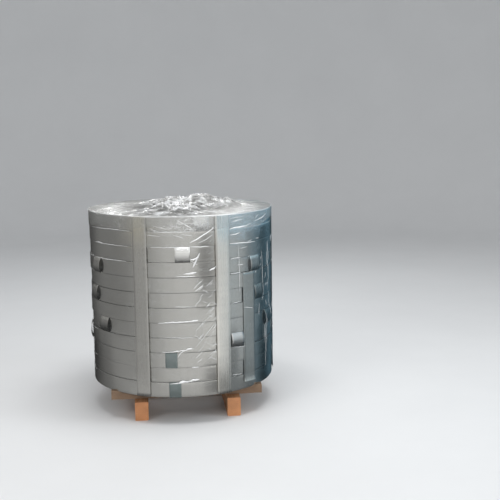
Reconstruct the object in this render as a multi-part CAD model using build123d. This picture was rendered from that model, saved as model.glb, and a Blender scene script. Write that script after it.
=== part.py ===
"""A stack of slit steel coils on a wooden skid, tied, guarded with loose strips and wrapped in film.

The coils lie eye to the sky. Units are millimetres, +Z is up, and the origin is on the floor
under the middle of the stack. The runners of the skid lie along Y. An azimuth is measured from
-Y, where the stack is looked at, towards +X.
"""
from build123d import *
import math
import os

# Slit coils, numbered from the top
coil_count = 12
coil_outer_diameter = 1000.0
coil_bore_diameter = 508.0
coil_width = 77.0
strip_gauge = 1.0
stacking_error = 2.5
stacking_turn = 137.5

# Groups of turns that stand back on the two ends left open, the top one and the lowest one
turn_group_count = 3
turn_group_depth = 0.8

# Ties: lengths of the same strip, led through the bore and round each coil
ties_per_coil = 3
tight_bulge = 2.0
loose_bulge = 9.0
tie_azimuths = (9.6, -27.0, -1.9, -63.5, -27.0, -69.0, 22.0, -57.5, 32.0, -9.75, 22.0, -7.5)
tie_spacings = {4: 111.0}
narrow_tie_width = 62.0
narrow_tie_coils = (10, 12)
loose_coils = (1, 3, 4, 6, 8, 9)

# Guard strips: lengths of strip that stand against the stack and hook over its top edge
guard_bend_radius = 3.0
guard_hook_length = 100.0
guard_foot_gap = 1.0
guard_azimuths = (-27.0, 22.0, 93.0, 213.0)

# A short strip that has slipped down under the film: one edge leans on the coils, the other stands off
slipped_azimuth = 33.5
slipped_edge_offset = 28.0
slipped_foot_gap = 38.0
slipped_top_coil = 5

# Skid; the coils stand out beyond the ends of its timbers by the inset
skid_inset = 100.0
runner_width = 70.0
runner_height = 100.0
runner_spacing = 486.0
board_width = 100.0
board_thickness = 48.0
board_setback = 60.0
board_count = 3
timber_arris = 2.0

# Stretch film, drawn in over the top and gathered into a heap over the bore
film_wall = 0.8
film_foot_gap = 2.0
film_top_wall = 3.0
heap_centre_x = 30.0
heap_centre_y = -30.0
heap_overlap = 36.0
heap_raggedness = 0.10
heap_flank_width = 90.0
heap_base_height = 14.0
heap_peak_height = 46.0

# The heap's peaks: across and along in heap radii from its middle, and height in shares of the highest
heap_peaks = (
    (-0.30, 0.18, 0.85), (0.18, 0.06, 1.0), (0.50, 0.26, 0.70), (0.72, -0.12, 0.55),
    (-0.50, -0.40, 0.40), (0.05, -0.62, 0.55), (-0.12, 0.66, 0.45),
)
heap_peak_share = 0.27
heap_spokes = 16
heap_rings = (0.22, 0.46, 0.72, 1.0)

# Play between pieces that lie loose on each other, and spare beyond a cut
clearance = 0.3
cut_spare = 2.0

# Sizes and levels that follow from the ones above
tie_gauge = strip_gauge
tie_width = coil_width
guard_gauge = strip_gauge
guard_width = coil_width
coil_radius = coil_outer_diameter / 2
bore_radius = coil_bore_diameter / 2
coil_pitch = coil_width + tie_gauge
tie_leg_radius = math.sqrt(bore_radius**2 - (tie_width / 2) ** 2) - clearance
deck_height = runner_height + board_thickness
stack_top = deck_height + coil_count * coil_pitch - tie_gauge
tight_crown = coil_radius + stacking_error + tight_bulge + tie_gauge
loose_crown = coil_radius + stacking_error + loose_bulge + tie_gauge
guard_inner_radius = tight_crown + clearance
guard_outer_radius = guard_inner_radius + guard_gauge
guard_hook_bottom = stack_top + clearance
guard_hook_top = guard_hook_bottom + guard_gauge
guard_hook_end = guard_outer_radius - guard_hook_length
slipped_contact = coil_radius + stacking_error + clearance
slipped_inner_radius = math.sqrt(slipped_contact**2 - slipped_edge_offset**2)
slipped_corner = math.hypot(slipped_inner_radius + guard_gauge, slipped_edge_offset + guard_width)
tie_corner = math.hypot(loose_crown, tie_width / 2)
film_inner_radius = max(tie_corner, slipped_corner) + clearance
film_outer_radius = film_inner_radius + film_wall
film_top_bottom = guard_hook_top + clearance
heap_bottom = film_top_bottom + film_top_wall
heap_radius = bore_radius + heap_overlap
runner_length = coil_outer_diameter - 2 * skid_inset
board_length = coil_outer_diameter - 2 * skid_inset

NODES = {}


def coil_base(number):
    """Height of the lower end of a coil; number 1 is at the top."""
    return deck_height + (coil_count - number) * coil_pitch


def coil_place(number):
    """Where a coil sits: each a little off the middle, because the stack isn't true."""
    turn = math.radians(number * stacking_turn)
    return Pos(stacking_error * math.cos(turn), stacking_error * math.sin(turn), coil_base(number))


def facing(azimuth):
    """Turns a shape made on the -Y side round to an azimuth."""
    return Rot(0, 0, azimuth)


def first_tie(number):
    """Azimuth of the first tie of a coil."""
    return tie_azimuths[(number - 1) % len(tie_azimuths)]


def wound_circle(radius, step):
    """A circle that grows by one gauge in a turn, made of two half circles, and its end step.

    The end of the lap lies at +X. step is positive for the outside and negative for the bore.
    """
    half = step / 2
    first = ThreePointArc((radius, 0), (0, radius), (-radius, 0))
    second = ThreePointArc((-radius, 0), (-half, -(radius - half)), (radius - step, 0))
    end = Line((radius - step, 0), (radius, 0))
    return make_face(Wire([first, second, end]))


def wound_ring():
    """Plan of a coil: the outer lap and the innermost lap both end in a step of one gauge."""
    return wound_circle(coil_radius, strip_gauge) - wound_circle(bore_radius, -strip_gauge)


def turn_groups():
    """Every second group of turns on the upper end, a little lower than its neighbours."""
    group = (coil_radius - bore_radius) / turn_group_count
    rings = []
    for index in range(1, turn_group_count, 2):
        inner = bore_radius + index * group
        plan = Circle(inner + group) - Circle(inner)
        rings.append(Pos(0, 0, coil_width - turn_group_depth) * extrude(plan, cut_spare))
    return rings


def coil(number):
    """One slit coil: a wound ring whose outer lap ends under a tie."""
    body = extrude(wound_ring(), coil_width)
    if number in (1, coil_count):
        body -= turn_groups()
    if number == coil_count:
        body = Pos(0, 0, coil_width) * Rot(180, 0, 0) * body
    return coil_place(number) * facing(first_tie(number) - 90) * body


def tie_section(bulge):
    """The band in section, bore to the left: flat on both ends and bowed out at the outside."""
    low, high = -tie_gauge, coil_width + tie_gauge
    middle = coil_width / 2
    inner = tie_leg_radius - tie_gauge
    crown = coil_radius + bulge
    outside = Wire([
        Line((coil_radius, high), (inner, high)),
        Line((inner, high), (inner, low)),
        Line((inner, low), (coil_radius, low)),
        ThreePointArc((coil_radius, low), (crown + tie_gauge, middle), (coil_radius, high)),
    ])
    inside = Wire([
        Line((coil_radius, coil_width), (tie_leg_radius, coil_width)),
        Line((tie_leg_radius, coil_width), (tie_leg_radius, 0)),
        Line((tie_leg_radius, 0), (coil_radius, 0)),
        ThreePointArc((coil_radius, 0), (crown, middle), (coil_radius, coil_width)),
    ])
    return make_face(outside) - make_face(inside)


def flat_band(section, width):
    """A band bent from flat strip: its section carried straight across its width, on the -Y side."""
    return Rot(0, 0, -90) * extrude(Plane.XZ * section, width / 2, both=True)


def ties(number):
    """The bands of one coil, spread round it."""
    bulge = loose_bulge if number in loose_coils else tight_bulge
    width = narrow_tie_width if number in narrow_tie_coils else tie_width
    band = flat_band(tie_section(bulge), width)
    spacing = tie_spacings.get(number, 360 / ties_per_coil)
    bands = []
    for index in range(ties_per_coil):
        azimuth = first_tie(number) + index * spacing
        bands.append(coil_place(number) * facing(azimuth) * band)
    return bands


def guard_section():
    """A guard strip in section: up the side, round the top edge and in over the end."""
    foot = deck_height + guard_foot_gap
    bend = guard_bend_radius
    thin = bend - guard_gauge
    corner_r = guard_outer_radius - bend
    corner_z = guard_hook_top - bend
    slant = math.sqrt(1 / 2)
    outline = Wire([
        Line((guard_inner_radius, foot), (guard_outer_radius, foot)),
        Line((guard_outer_radius, foot), (guard_outer_radius, corner_z)),
        ThreePointArc(
            (guard_outer_radius, corner_z),
            (corner_r + bend * slant, corner_z + bend * slant),
            (corner_r, guard_hook_top),
        ),
        Line((corner_r, guard_hook_top), (guard_hook_end, guard_hook_top)),
        Line((guard_hook_end, guard_hook_top), (guard_hook_end, guard_hook_bottom)),
        Line((guard_hook_end, guard_hook_bottom), (corner_r, guard_hook_bottom)),
        ThreePointArc(
            (corner_r, guard_hook_bottom),
            (corner_r + thin * slant, corner_z + thin * slant),
            (guard_inner_radius, corner_z),
        ),
        Line((guard_inner_radius, corner_z), (guard_inner_radius, foot)),
    ])
    return make_face(outline)


def guard_strip(azimuth):
    """One hooked strip on the outside of the stack."""
    return facing(azimuth) * flat_band(guard_section(), guard_width)


def slipped_strip():
    """The short strip against the lower coils, leaning on them with the edge nearer to the middle."""
    foot = deck_height + slipped_foot_gap
    top = coil_base(slipped_top_coil) + coil_width
    section = Rectangle(guard_gauge, top - foot, align=(Align.MIN, Align.MIN))
    band = flat_band(Pos(slipped_inner_radius, foot) * section, guard_width)
    return facing(slipped_azimuth) * Pos(slipped_edge_offset + guard_width / 2, 0, 0) * band


def timber(size_x, size_y, size_z):
    """Sawn timber standing on Z = 0 with its long edges eased."""
    block = Box(size_x, size_y, size_z, align=(Align.CENTER, Align.CENTER, Align.MIN))
    along = Axis.X if size_x > size_y else Axis.Y
    return chamfer(block.edges().filter_by(along), timber_arris)


def runner(side):
    """A runner under the boards; side is -1 or 1."""
    return Pos(side * runner_spacing / 2, 0, 0) * timber(runner_width, runner_length, runner_height)


def board(index, bands):
    """A cross board. The bands under the lowest coil are pressed into it."""
    reach = runner_length / 2 - board_setback - board_width / 2
    y = -reach + index * 2 * reach / (board_count - 1)
    block = Pos(0, y, runner_height) * timber(board_length, board_width, board_thickness)
    return block - bands


def film_side():
    """The turns of film round the stack, as one thin wall."""
    foot = deck_height + film_foot_gap
    plan = Circle(film_outer_radius) - Circle(film_inner_radius)
    return Pos(0, 0, foot) * extrude(plan, film_top_bottom - clearance - foot)


def film_top():
    """The film that lies flat over the end of the top coil and its bore."""
    return Pos(0, 0, film_top_bottom) * extrude(make_face(Circle(film_outer_radius).edges()), film_top_wall)


def heap_edge(turn):
    """Distance from the middle of the heap to its ragged edge in one direction."""
    return heap_radius * (1 + heap_raggedness * math.sin(3 * turn + 1))


def heap_level(x, y):
    """Height of the gathered film over the flat film: a low mound with a few broad peaks."""
    across, along = x - heap_centre_x, y - heap_centre_y
    inside = heap_edge(math.atan2(along, across)) - math.hypot(across, along)
    share = min(max(inside / heap_flank_width, 0), 1)
    level = heap_base_height
    for peak_x, peak_y, height in heap_peaks:
        off = math.hypot(across - peak_x * heap_radius, along - peak_y * heap_radius)
        level += heap_peak_height * height * math.exp(-((off / heap_radius / heap_peak_share) ** 2))
    return level * share * share * (3 - 2 * share)


def heap_point(ring, spoke):
    """A corner of the heap's facets. Rings go from the middle outwards."""
    turn = 2 * math.pi * spoke / heap_spokes
    reach = heap_rings[ring] * heap_edge(turn)
    x = heap_centre_x + reach * math.cos(turn)
    y = heap_centre_y + reach * math.sin(turn)
    level = 0 if ring == len(heap_rings) - 1 else heap_level(x, y)
    return Vector(x, y, heap_bottom + level)


def facet(*corners):
    """A flat face between corners."""
    return make_face(Polyline(*corners, close=True))


def film_heap():
    """The gathered end of the film over the bore, as a solid with a few large facets."""
    centre_level = heap_bottom + heap_level(heap_centre_x, heap_centre_y)
    centre = Vector(heap_centre_x, heap_centre_y, centre_level)
    faces = [facet(*[heap_point(len(heap_rings) - 1, spoke) for spoke in range(heap_spokes)])]
    for spoke in range(heap_spokes):
        faces.append(facet(centre, heap_point(0, spoke), heap_point(0, spoke + 1)))
        for ring in range(len(heap_rings) - 1):
            inner, beside = heap_point(ring, spoke), heap_point(ring, spoke + 1)
            outer, across = heap_point(ring + 1, spoke), heap_point(ring + 1, spoke + 1)
            faces.append(facet(inner, outer, across))
            faces.append(facet(inner, across, beside))
    return Solid(Shell(faces))


def build():
    """Makes every piece and names it."""
    for number in range(1, coil_count + 1):
        NODES[f"coil_{number:02d}"] = coil(number)
        NODES[f"coil_{number:02d}_ties"] = Compound(children=ties(number))
    for number, azimuth in enumerate(guard_azimuths, 1):
        NODES[f"guard_strip_{number}"] = guard_strip(azimuth)
    NODES["slipped_strip"] = slipped_strip()
    lowest_bands = ties(coil_count)
    for index in range(board_count):
        NODES[f"skid_board_{index + 1}"] = board(index, lowest_bands)
    NODES["skid_runner_left"] = runner(-1)
    NODES["skid_runner_right"] = runner(1)
    NODES["film_side"] = film_side()
    NODES["film_top"] = film_top()
    NODES["film_heap"] = film_heap()


build()
os.makedirs("parts", exist_ok=True)
for name, shape in NODES.items():
    export_step(shape, f"parts/{name}.step")
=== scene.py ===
# %% [markdown]
# # A wrapped stack of slit steel coils
#
# A slitting line cuts a wide coil of stainless strip into narrow ones. Twelve of them lie here one
# on another on a wooden skid. Each is tied with bands of its own strip, a few loose strips guard
# the outside, and clear stretch film is wound round it all and gathered over the top.
#
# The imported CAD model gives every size. Nothing in it is moved: its pieces are replaced by finer
# meshes in the same places, and then get their finishes.

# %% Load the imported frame
import math

import bmesh
import bpy
import numpy as np
from mathutils import Matrix, Vector


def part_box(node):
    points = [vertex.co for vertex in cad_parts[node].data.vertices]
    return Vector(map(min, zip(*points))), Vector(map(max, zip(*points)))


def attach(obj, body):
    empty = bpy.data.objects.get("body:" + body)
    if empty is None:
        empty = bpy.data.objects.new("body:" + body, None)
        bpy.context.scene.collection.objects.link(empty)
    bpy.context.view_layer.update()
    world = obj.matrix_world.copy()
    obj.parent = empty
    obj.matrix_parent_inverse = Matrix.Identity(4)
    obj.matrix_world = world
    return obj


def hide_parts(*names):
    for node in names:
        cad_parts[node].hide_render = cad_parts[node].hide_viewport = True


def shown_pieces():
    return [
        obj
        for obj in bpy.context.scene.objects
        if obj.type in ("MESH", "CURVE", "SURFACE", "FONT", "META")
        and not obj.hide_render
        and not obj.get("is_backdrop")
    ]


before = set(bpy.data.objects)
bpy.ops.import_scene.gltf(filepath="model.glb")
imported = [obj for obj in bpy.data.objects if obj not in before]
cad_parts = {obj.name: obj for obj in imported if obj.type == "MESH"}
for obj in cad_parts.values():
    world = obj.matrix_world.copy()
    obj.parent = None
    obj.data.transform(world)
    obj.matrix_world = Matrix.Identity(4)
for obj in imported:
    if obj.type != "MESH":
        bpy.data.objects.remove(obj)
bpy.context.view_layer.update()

# %% [markdown]
# ## The view
#
# The camera stands where the photograph was taken: a person's height above the floor, looking
# slightly down, a little left of the stack. Its place was worked out from the seams between the
# coils. A heading and a pitch are easier to read than a matrix, so the matrix is made from them.

# %% Camera
camera_place = Vector((-0.1908, -4.9328, 1.5778))
camera_heading, camera_pitch, camera_roll = (math.radians(a) for a in (6.6700, 8.5949, -0.7911))
camera_lens = 64.21


def stand(name, data):
    """An object in the scene for a mesh, a lamp or a camera."""
    thing = bpy.data.objects.new(name, data)
    bpy.context.scene.collection.objects.link(thing)
    return thing


def place_camera():
    """Makes the camera from its heading, its pitch and its roll."""
    level = Vector((math.sin(camera_heading), math.cos(camera_heading), 0))
    ahead = level * math.cos(camera_pitch) - Vector((0, 0, math.sin(camera_pitch)))
    right = Vector((math.cos(camera_heading), -math.sin(camera_heading), 0))
    up = right.cross(ahead)
    turned_right = right * math.cos(camera_roll) + up * math.sin(camera_roll)
    turned_up = up * math.cos(camera_roll) - right * math.sin(camera_roll)
    data = bpy.data.cameras.new("view")
    data.lens = camera_lens
    data.sensor_width = 36
    camera = stand("view", data)
    turn = Matrix((turned_right, turned_up, -ahead)).transposed()
    camera.matrix_world = Matrix.Translation(camera_place) @ turn.to_4x4()
    bpy.context.scene.camera = camera


place_camera()
print("camera at", camera_place[:])

# %% [markdown]
# ## Sizes
#
# These are the driving sizes of the CAD source, here in metres. The outside of a coil of strip isn't
# one true circle: the strip was wound under tension with small errors, so each coil gets a few slow
# waves of its own. They are far too small to see as shape, yet they break the reflections from one
# coil to the next, and that is what makes a stack look like twelve coils and not like one drum.

# %% Sizes shared with the CAD source
coil_count = 12
coil_radius = 0.500
bore_radius = 0.254
coil_width = 0.077
strip_width = 0.077
gauge = 0.001
coil_pitch = coil_width + gauge
deck_height = 0.148
stacking_error = 0.0025
stacking_turn = 137.5
tie_azimuths = (9.6, -27.0, -1.9, -63.5, -27.0, -69.0, 22.0, -57.5, 32.0, -9.75, 22.0, -7.5)
stack_top = deck_height + coil_count * coil_pitch - gauge
wave_orders = (2, 3, 5, 7, 9, 13, 19, 26, 34)
slow_wave, any_wave = 0.00075, 0.00010
deepest_dent, highest_bump = 0.0025, 0.0012


def coil_base(number):
    """Height of the lower end of a coil; number 1 is at the top."""
    return deck_height + (coil_count - number) * coil_pitch


def around(azimuth, radius=1.0, height=0.0):
    """Points round the axis. Azimuths are in degrees from -Y towards +X."""
    angle = np.radians(azimuth)
    x, y = np.sin(angle) * radius, -np.cos(angle) * radius
    return np.stack([x, y, np.broadcast_to(height, x.shape)], -1)


def degrees_from(centre, azimuth):
    """How far azimuths lie from another one, from -180 to 180."""
    return (azimuth - centre + 180) % 360 - 180


def held(values):
    """Values held between 0 and 1."""
    return np.clip(values, 0, 1)


def coil_middle(number):
    """Each coil sits a little off the axis of the stack."""
    turn = math.radians(number * stacking_turn)
    return np.array([stacking_error * math.cos(turn), stacking_error * math.sin(turn), 0.0])


def winding_error(number, azimuth):
    """Slow waves in the outer lap of one coil, in metres."""
    chance = np.random.default_rng(100 + number)
    wave = np.zeros_like(azimuth, dtype=float)
    for order in wave_orders:
        size = (slow_wave / order + any_wave) * chance.uniform(0.4, 1.2)
        wave += size * np.cos(np.radians(order * azimuth + chance.uniform(0, 360)))
    return np.clip(wave, -deepest_dent, highest_bump) - highest_bump


print("stack top", round(stack_top, 4))

# %% [markdown]
# ## From rows of points to a mesh
#
# Everything here is a surface that can be laid out as a grid: a wall wound round an axis, a band
# bent along a path, a sheet of film. One helper turns such grids into one mesh. It also keeps, for
# each point, where it lay before it was bent, in metres, in a UV map called Laid. A finish such as
# rolling grain can then follow the strip round its bends.

# %% Helpers that make meshes
def grid(points, laid, wrap=False, slot=0):
    """A surface from rows of points. wrap joins the last column to the first."""
    rows, columns = points.shape[:2]
    index = np.arange(rows * columns).reshape(rows, columns)
    right = np.roll(index, -1, 1) if wrap else index[:, 1:]
    left = index if wrap else index[:, :-1]
    quads = np.stack([left[:-1], right[:-1], right[1:], left[1:]], -1).reshape(-1, 4)
    laid = np.asarray(laid, float).reshape(-1, 2)
    return {"points": points.reshape(-1, 3), "laid": laid, "quads": quads, "slot": np.full(len(quads), slot)}


def join(grids):
    """Several grids as one."""
    starts = np.cumsum([0] + [len(g["points"]) for g in grids])
    joined = {key: np.concatenate([g[key] for g in grids]) for key in ("points", "laid", "slot")}
    joined["quads"] = np.concatenate([g["quads"] + s for g, s in zip(grids, starts)])
    return joined


def new_mesh(name, surface):
    """A mesh without any finish."""
    mesh = bpy.data.meshes.new(name)
    mesh.from_pydata(surface["points"].tolist(), [], surface["quads"].tolist())
    return mesh


# %% Helper that makes a piece
def make_piece(name, grids, finishes, closed=True, weld=True, shades=None):
    """An object from grids. closed turns the faces of a solid outwards; shades are values at its points."""
    surface = join(grids)
    mesh = new_mesh(name, surface)
    mesh.uv_layers.new(name="Laid")
    corners = surface["laid"][surface["quads"].ravel()]
    mesh.uv_layers["Laid"].uv.foreach_set("vector", corners.astype(np.float32).ravel())
    mesh.polygons.foreach_set("material_index", surface["slot"].astype(np.int32))
    for key, values in (shades or {}).items():
        shade = mesh.attributes.new(key, "FLOAT", "POINT")
        shade.data.foreach_set("value", np.asarray(values, np.float32).ravel())
    for finish in finishes:
        mesh.materials.append(finish)
    if weld:
        work = bmesh.new()
        work.from_mesh(mesh)
        bmesh.ops.remove_doubles(work, verts=work.verts, dist=1e-6)
        if closed:
            bmesh.ops.recalc_face_normals(work, faces=work.faces)
        work.to_mesh(mesh)
        work.free()
    mesh.shade_smooth()
    piece = stand(name, mesh)
    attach(piece, "root")
    return piece


# %% Helpers for paths
def rounded(path, closed=False, times=2):
    """Cuts the corners of a path again and again, which rounds it."""
    path = np.asarray(path, float)
    for _ in range(times):
        after = np.roll(path, -1, 0) if closed else path[1:]
        before = path if closed else path[:-1]
        quarter = 0.25 * (after - before)
        cut = np.stack([before + quarter, after - quarter], 1).reshape(-1, 2)
        path = cut if closed else np.concatenate([path[:1], cut[1:-1], path[-1:]])
    return path


def run_along(path):
    """Distance along a path at each of its points."""
    return np.concatenate([[0], np.cumsum(np.linalg.norm(np.diff(path, axis=0), axis=1))])


def spread(path, step, closed=False):
    """Points along a path, about one step apart, and the distance along it."""
    path = np.asarray(path, float)
    if closed:
        path = np.concatenate([path, path[:1]])
    run = run_along(path)
    at = np.linspace(0, run[-1], max(int(round(run[-1] / step)), 2) + 1)
    even = np.stack([np.interp(at, run, path[:, k]) for k in (0, 1)], 1)
    return (even[:-1], at[:-1]) if closed else (even, at)


# %% [markdown]
# ## Helpers for finishes
#
# A finish is a small network of shader nodes. Writing one by hand takes a line for each node and a
# line for each link, so one helper makes a node and feeds it whatever is handed to it: a value sets
# an input, and the output of another node is joined to it. A group of nodes is placed the same way.

# %% Helpers that make shader nodes
def feed(tree, node, inputs):
    """Sets the inputs of a node, or joins them to outputs of other nodes."""
    for key, value in inputs.items():
        if isinstance(value, bpy.types.NodeSocket):
            tree.links.new(value, node.inputs[key])
        else:
            node.inputs[key].default_value = value


def put(tree, kind, inputs=None, **settings):
    """The outputs of a new node in a tree."""
    node = tree.nodes.new("ShaderNode" + kind)
    for key, value in settings.items():
        setattr(node, key, value)
    feed(tree, node, inputs or {})
    return node.outputs


# %% Sums, colours and noise
def sum_of(tree, operation, first, second=0.0, third=0.0, clamp=False):
    """The result of one sum on values."""
    return put(tree, "Math", {0: first, 1: second, 2: third}, operation=operation, use_clamp=clamp)[0]


def total_of(tree, base, *parts):
    """A value and, added to it, other values times their weights."""
    for value, weight in parts:
        base = sum_of(tree, "MULTIPLY_ADD", value, weight, base)
    return base


def vector_of(tree, operation, first, second):
    """The result of one sum on vectors."""
    inputs = {0: first, "Scale" if operation == "SCALE" else 1: second}
    return put(tree, "VectorMath", inputs, operation=operation)[0]


def blend_of(tree, factor, first, second, how="MIX"):
    """One colour laid over another. A Mix node has its sockets for colours at 6 and 7."""
    return put(tree, "Mix", {0: factor, 6: first, 7: second}, data_type="RGBA", blend_type=how)[2]


def shaded(tree, colour, shade):
    """A colour made darker or lighter by a value."""
    grey = put(tree, "CombineColor", {0: shade, 1: shade, 2: shade})[0]
    return blend_of(tree, 1.0, colour, grey, "MULTIPLY")


def noise_of(tree, vector, size, detail, roughness, output="Fac", shift=(0, 0, 0)):
    """Seeded noise, the same at each run. size is one scale, or one for each direction."""
    if isinstance(size, tuple):
        vector, size = put(tree, "Mapping", {"Vector": vector, "Scale": size, "Location": shift})[0], 1.0
    inputs = {"Vector": vector, "Scale": size, "Detail": detail, "Roughness": roughness}
    return put(tree, "TexNoise", inputs)[output]


def curve_of(tree, value, low, high, low_to=0.0, high_to=1.0):
    """A value taken from one range to another, with its ends held."""
    inputs = {"Value": value, "From Min": low, "From Max": high, "To Min": low_to, "To Max": high_to}
    return put(tree, "MapRange", inputs)[0]


def relief_of(tree, height, strength, distance):
    """The normal of a surface with small relief."""
    return put(tree, "Bump", {"Strength": strength, "Distance": distance, "Height": height})[0]


# %% Groups and materials
def new_group(name, inputs, outputs):
    """A node group. inputs holds values, and None for a vector; every output is a value."""
    group = bpy.data.node_groups.new(name, "ShaderNodeTree")
    for key, value in inputs.items():
        kind = "NodeSocketVector" if value is None else "NodeSocketFloat"
        socket = group.interface.new_socket(key, in_out="INPUT", socket_type=kind)
        if value is not None:
            socket.default_value = value
    for key in outputs:
        group.interface.new_socket(key, in_out="OUTPUT", socket_type="NodeSocketFloat")
    return group, group.nodes.new("NodeGroupInput").outputs, group.nodes.new("NodeGroupOutput")


def new_finish(name):
    """An empty material, its tree and its shader."""
    material = bpy.data.materials.new(name)
    material.use_nodes = True
    return material, material.node_tree, material.node_tree.nodes["Principled BSDF"]


# %% [markdown]
# ## Rolling grain
#
# Cold-rolled stainless strip has a grey, softly shining skin. The rolls leave fine lines along the
# strip, the pickling leaves it slightly cloudy, and handling leaves faint cross marks where the strip
# was bent a little too sharply. All strip in the stack shares this, so it is one group. It reads the
# Laid map, where U runs along the strip and V across it.

# %% Group: rolling grain
def make_rolling_grain():
    """Lines along the strip, clouds and faint cross marks."""
    inputs = {"Laid": None, "Lines": 1.0, "Clouds": 1.0, "Shift": 0.0}
    group, given, result = new_group("rolling_grain", inputs, ("Shade", "Roughness", "Height"))
    moved = put(group, "CombineXYZ", {"X": given["Shift"], "Y": given["Shift"]})[0]
    laid = vector_of(group, "ADD", given["Laid"], moved)
    fine = noise_of(group, laid, (6, 900, 1), 2.0, 0.6)
    coarse = noise_of(group, laid, (2.5, 130, 1), 3.0, 0.55)
    cloud = noise_of(group, laid, (9, 14, 1), 4.0, 0.6)
    cross = noise_of(group, laid, (55, 2, 1), 2.0, 0.5)
    lines = sum_of(group, "MULTIPLY", total_of(group, -0.5, (coarse, 0.5), (fine, 0.5)), given["Lines"])
    clouds = sum_of(group, "MULTIPLY", sum_of(group, "SUBTRACT", cloud, 0.5), given["Clouds"])
    marks = sum_of(group, "SUBTRACT", cross, 0.5)
    feed(group, result, {
        "Shade": total_of(group, 1.0, (lines, 0.14), (clouds, 0.12), (marks, 0.12)),
        "Roughness": total_of(group, lines, (clouds, 0.25)),
        "Height": total_of(group, 0.0, (lines, 0.25), (marks, 1.2)),
    })
    return group


rolling_grain = make_rolling_grain()
print("group", rolling_grain.name)

# %% [markdown]
# ## Steel of the coils and of the loose strips
#
# Both are the same metal. The coils were wound tight and clean. The bands and guard strips are
# offcuts: they have been bent and dragged about, so they have more lines. Some copies of the finish
# are paler or darker than the rest: that is painted light and painted shade, for the brighter or
# dimmer reflections that those strips show. A metal's colour is the colour of its reflection, so the
# base colour is a plain warm grey and the picture in the metal comes from the room. A value at the
# points of a mesh paints shade into the base colour: the foot of a bowed band and the slit edges
# beside open seams are darker. Where it is below zero it paints light: the top of a bowed band, the
# slit edges by the two lowest seams and the foot of the slipped strip are lighter.

# %% Steel finishes
def make_steel(name, colour, roughness, lines, clouds, shift, bump):
    """Cold-rolled stainless strip."""
    material, tree, shader = new_finish(name)
    laid = put(tree, "UVMap", uv_map="Laid")[0]
    given = {"Laid": laid, "Lines": lines, "Clouds": clouds, "Shift": shift}
    grain = put(tree, "Group", given, node_tree=rolling_grain)
    # Painted shade and painted light: the value at the points darkens the base colour, or lightens it where below
    # zero.
    lit = sum_of(tree, "SUBTRACT", 1.0, put(tree, "Attribute", attribute_name="PaintedShadeAndLight")["Fac"])
    feed(tree, shader, {
        "Base Color": shaded(tree, (*colour, 1), sum_of(tree, "MULTIPLY", grain["Shade"], lit)),
        "Roughness": total_of(tree, roughness, (grain["Roughness"], 0.16)),
        "Normal": relief_of(tree, grain["Height"], bump, 0.0006),
        "Metallic": 1.0,
    })
    return material


coil_steel = make_steel("coil_steel", (0.62, 0.615, 0.59), 0.24, 0.5, 1.0, 0.0, 0.05)
strip_steel = make_steel("strip_steel", (0.64, 0.63, 0.60), 0.28, 0.7, 0.8, 3.7, 0.06)
# Paler and darker copies of the same steel: painted highlight and painted shade for what these strips reflect.
guard_steel_painted_bright = make_steel("strip_steel_painted_bright", (0.86, 0.845, 0.80), 0.28, 2.4, 0.8, 5.1, 0.10)
tie_steel_painted_bright = make_steel("strip_steel_bowed_painted_bright", (0.90, 0.90, 0.885), 0.17, 0.5, 0.8, 9.3, 0.04)
slipped_steel_painted_dark = make_steel("strip_steel_smooth_painted_dark", (0.43, 0.45, 0.44), 0.26, 0.4, 0.8, 6.3, 0.04)
tie_steel_painted_dark = make_steel("strip_steel_painted_dark", (0.235, 0.290, 0.290), 0.36, 1.0, 1.2, 7.9, 0.12)
print("steel finishes", [m.name for m in bpy.data.materials if "steel" in m.name])

# %% [markdown]
# ## Ends of the turns
#
# On the end of a coil some 250 turns lie side by side, each as thick as the strip. The lines between
# them are a spiral, a quarter of a millimetre deep. Modelling them would take millions of faces, so
# the end carries its radius in V and its share of a turn in U, and a saw-toothed height is made from
# the two. A little chance moves whole turns in and out and makes some of them darker.

# %% Finish of the coil ends
def make_turn_ends():
    """The wound end of a coil: a spiral of slit edges."""
    material, tree, shader = new_finish("coil_steel_turns")
    laid = put(tree, "UVMap", uv_map="Laid")[0]
    share, radius, _ = put(tree, "SeparateXYZ", {"Vector": laid})
    turns = total_of(tree, share, (radius, 1 / gauge))
    edge = sum_of(tree, "PINGPONG", sum_of(tree, "FRACT", turns), 0.5)
    groove = curve_of(tree, edge, 0.0, 0.16)
    row = put(tree, "CombineXYZ", {"X": sum_of(tree, "FLOOR", turns), "Y": share})[0]
    chance = noise_of(tree, row, (0.37, 3.0, 1), 3.0, 0.7)
    band = noise_of(tree, laid, (0.6, 70, 1), 2.0, 0.6)
    shade = total_of(tree, 0.50, (chance, 0.35), (band, 0.35))
    shade = sum_of(tree, "MULTIPLY", shade, total_of(tree, 0.25, (groove, 0.75)))
    feed(tree, shader, {
        "Base Color": shaded(tree, (0.56, 0.555, 0.54, 1), shade),
        "Normal": relief_of(tree, total_of(tree, groove, (chance, 1.6)), 0.6, 0.0003),
        "Roughness": total_of(tree, 0.28, (chance, 0.2)),
        "Metallic": 1.0,
    })
    return material


turn_ends = make_turn_ends()
print("finish", turn_ends.name)

# %% [markdown]
# ## The coils
#
# One coil is a wound ring. Its outer lap ends in a step as thick as the strip, under the first
# band. The slit edges are slightly rounded: two such edges and the small gap between two coils make
# the thin dark seams, some more open than others. Beside the more open seams the slit edges are
# also painted darker, which is painted shade; beside the two lowest seams they are painted lighter,
# which is painted light. Groups of turns stand a little back on the ends that can be seen, as they
# do when the tension changes during winding. The wall and the two ends are separate grids, so that
# each can be laid out in its own way, and are then welded.

# %% Grids of a coil
lap_columns = 384
edge_round = 0.0011
painted_seam_shading = {3: 0.30, 4: 0.75, 5: 0.95, 6: 0.60, 7: 0.75, 8: 0.55, 9: 0.45, 10: -0.45, 11: -0.45}


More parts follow.
